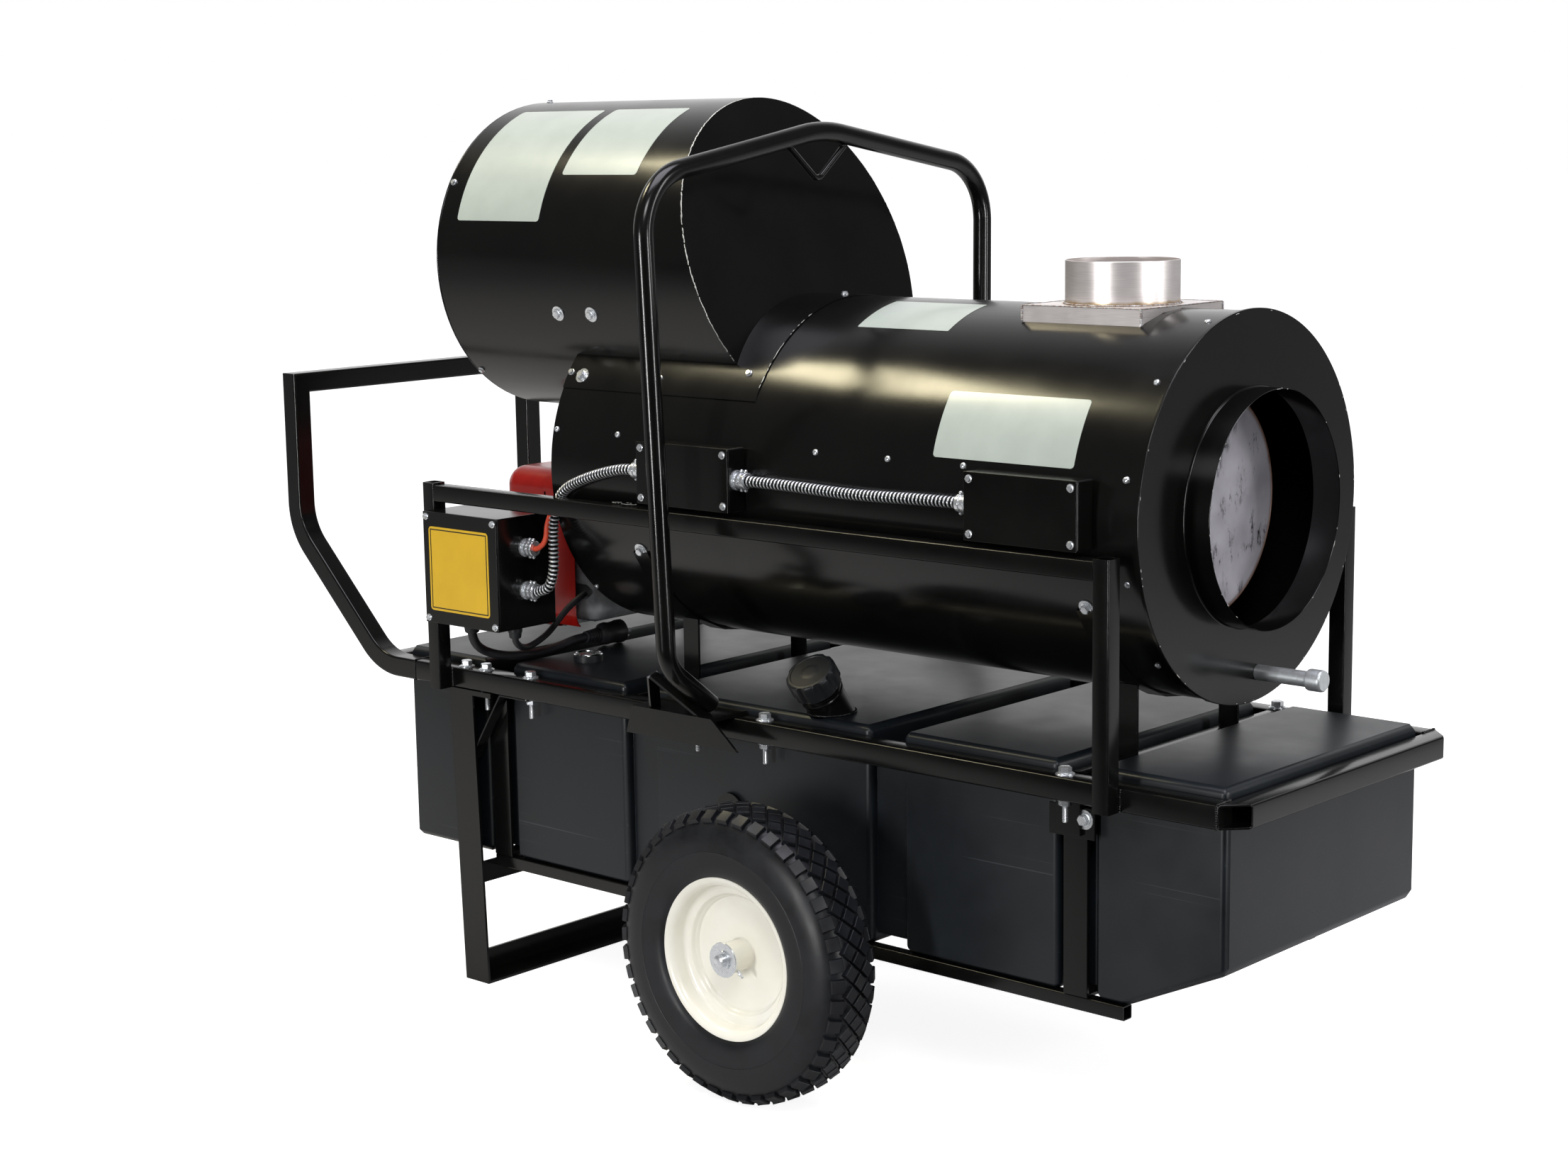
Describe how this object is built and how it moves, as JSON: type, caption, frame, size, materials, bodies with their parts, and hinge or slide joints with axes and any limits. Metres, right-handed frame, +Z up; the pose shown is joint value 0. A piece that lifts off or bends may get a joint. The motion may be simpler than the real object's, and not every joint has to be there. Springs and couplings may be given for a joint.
{
  "type": "indirect fired heater",
  "caption": "Wheeled oil-fired air heater: blower drum over a round heater shell on a grooved fuel-tank frame, with a flue, duct collar, push handle and lifting hoop.",
  "frame": {"origin": "on the floor, midway between the push handle and the bumper, on the middle plane", "axes": "+X towards the hot-air outlet, +Y away from the control box, +Z up"},
  "size_m": [1.821, 0.8724, 1.3615],
  "materials": {
    "black_powder_coat": "semi-gloss black powder coat",
    "tank_enamel": "satin blue-grey black enamel",
    "brushed_stainless": "brushed stainless steel, heat tinted at the welds",
    "mill_scale_steel": "scuffed lilac-grey steel",
    "bright_zinc": "bright zinc plate",
    "tyre_rubber": "black moulded rubber",
    "rim_enamel": "cream gloss enamel",
    "burner_red": "gloss red paint",
    "cast_aluminium": "as-cast aluminium",
    "cable_rubber": "matt black cable sheath",
    "cable_orange": "orange-red cable sheath",
    "cap_plastic": "matt black moulding",
    "gauge_glass": "clear lens",
    "needle_red": "red paint"
  },
  "bodies": {
    "heater": {"base_rail_near": "black_powder_coat", "base_rail_far": "black_powder_coat", "bumper_tube": "black_powder_coat", "push_handle": "black_powder_coat", "rear_cross_tube": "black_powder_coat", "side_frame_near": "black_powder_coat", "side_frame_far": "black_powder_coat", "lower_rail_near": "black_powder_coat", "lower_rail_far": "black_powder_coat", "stand_frame": "black_powder_coat", "stand_brace_near": "black_powder_coat", "stand_brace_far": "black_powder_coat", "filler_neck": "black_powder_coat", "tank_strap_rear": "black_powder_coat", "tank_strap_front": "black_powder_coat", "shell_cradle_rear": "black_powder_coat", "shell_cradle_front": "black_powder_coat", "heater_shell": "black_powder_coat", "rear_plate": "black_powder_coat", "outlet_plate": "black_powder_coat", "blower_drum": "black_powder_coat", "duct_hood": "black_powder_coat", "fan_motor": "black_powder_coat", "motor_mount": "black_powder_coat", "fan_guard": "black_powder_coat", "control_box": "black_powder_coat", "control_box_cover": "black_powder_coat", "junction_box_1": "black_powder_coat", "junction_box_1_cover": "black_powder_coat", "junction_box_2": "black_powder_coat", "junction_box_2_cover": "black_powder_coat", "lifting_hoop": "black_powder_coat", "hoop_foot_near": "black_powder_coat", "hoop_foot_far": "black_powder_coat", "stub_axle_near": "black_powder_coat", "stub_axle_far": "black_powder_coat", "fuel_tank": "tank_enamel", "gauge_body": "bright_zinc", "gauge_lens": "gauge_glass", "heat_exchanger": "mill_scale_steel", "flue_box": "brushed_stainless", "flue_stub": "brushed_stainless", "clean_out_pipe": "bright_zinc", "burner_cover": "burner_red", "burner_casting": "cast_aluminium", "blast_tube": "brushed_stainless", "cord_gland": "cap_plastic", "conduit_1": "bright_zinc", "conduit_2": "bright_zinc", "fan_cable": "cable_orange", "power_cord": "cable_rubber", "burner_lead": "cable_rubber", "power_plug": "cable_rubber"},
    "wheel_near": {"tyre_near": "tyre_rubber", "wheel_rim_near": "rim_enamel"},
    "wheel_far": {"tyre_far": "tyre_rubber", "wheel_rim_far": "rim_enamel"},
    "blower_fan": {"fan": "cast_aluminium"},
    "filler_cap": {"filler_cap": "cap_plastic"},
    "gauge_needle": {"gauge_needle": "needle_red"}
  },
  "joints": [
    {"name": "wheel_near_spin", "type": "hinge", "parent": "heater", "child": "wheel_near", "pos_m": [0.198, -0.38, 0.2077], "axis": [0, 1, 0], "continuous": true},
    {"name": "wheel_far_spin", "type": "hinge", "parent": "heater", "child": "wheel_far", "pos_m": [0.198, 0.38, 0.2077], "axis": [0, 1, 0], "continuous": true},
    {"name": "fan_spin", "type": "hinge", "parent": "heater", "child": "blower_fan", "pos_m": [-0.505, 0, 1.125], "axis": [1, 0, 0], "continuous": true},
    {"name": "filler_cap_lift", "type": "slide", "parent": "heater", "child": "filler_cap", "axis": [0, -0.5878, 0.809], "range_m": [0, 0.05]},
    {"name": "gauge_needle_turn", "type": "hinge", "parent": "heater", "child": "gauge_needle", "pos_m": [-0.337, -0.149, 0.5225], "axis": [0, 0, 1], "range_deg": [-60, 200]}
  ]
}
